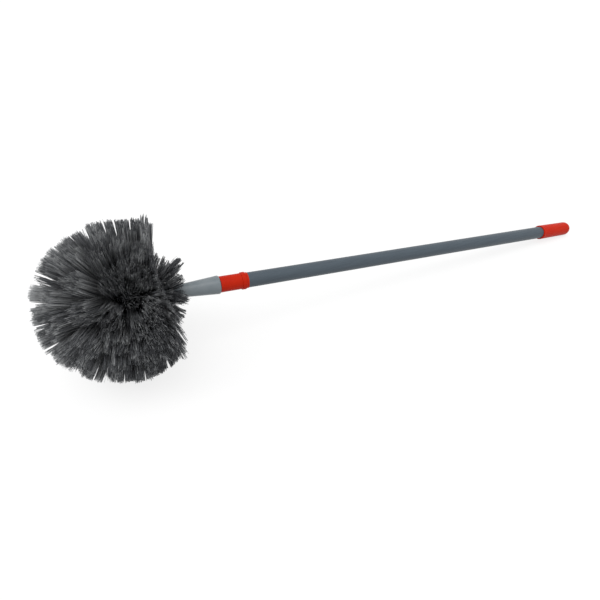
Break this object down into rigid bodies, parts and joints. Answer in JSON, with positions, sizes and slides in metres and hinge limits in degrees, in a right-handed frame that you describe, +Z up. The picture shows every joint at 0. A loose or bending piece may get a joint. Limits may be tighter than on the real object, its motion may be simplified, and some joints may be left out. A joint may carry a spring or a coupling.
{
  "type": "cobweb brush",
  "caption": "Ball-shaped cobweb brush of radial bristle tufts, screwed onto a telescopic twist-lock steel pole with a mouth collar and a domed grip cap.",
  "frame": {"origin": "on the floor, under the middle of the tool as it lies on its lowest tuft and its cap", "axes": "+X along the floor from the bristle ball to the grip cap, +Z up; the pole slopes down towards the cap"},
  "size_m": [0.9478, 0.2098, 0.2124],
  "materials": {
    "bristle": "loose bundle of stiff black and grey plastic bristles, satin, trimmed at the tips",
    "grey_moulding": "moulded polypropylene, satin",
    "staple_wire": "galvanised flat wire",
    "tip_moulding": "moulded polypropylene, satin",
    "inner_paint": "light grey paint on steel tube, semi-gloss",
    "lock_moulding": "natural acetal, satin",
    "red_moulding": "moulded polypropylene, semi-gloss",
    "outer_paint": "slate grey paint on steel tube, semi-gloss"
  },
  "bodies": {
    "pole": {"outer_tube": "outer_paint", "mouth_collar": "red_moulding", "grip_cap": "red_moulding"},
    "lock": {"lock_ring": "lock_moulding"},
    "extension": {"inner_tube": "inner_paint", "screw_tip": "tip_moulding", "lock_spindle": "lock_moulding"},
    "head": {"brush_block": "grey_moulding", "tuft_front": "bristle", "tuft_ring_1": "bristle", "tuft_ring_2": "bristle", "tuft_ring_3": "bristle", "tuft_ring_4": "bristle", "tuft_ring_5": "bristle", "tuft_ring_6": "bristle", "tuft_ring_7": "bristle", "tuft_ring_8": "bristle", "tuft_ring_9": "bristle", "tuft_staples": "staple_wire"}
  },
  "joints": [
    {"name": "telescope", "type": "slide", "parent": "pole", "child": "lock", "axis": [-0.9935, 0, 0.1139], "range_m": [0, 0.55]},
    {"name": "twist_lock", "type": "hinge", "parent": "lock", "child": "extension", "pos_m": [0.40416, 0, 0.01967], "axis": [0.9935, 0, -0.1139], "range_deg": [-30, 30]},
    {"name": "head_unscrew", "type": "slide", "parent": "extension", "child": "head", "axis": [-0.9935, 0, 0.1139], "range_m": [0, 0.04]}
  ]
}
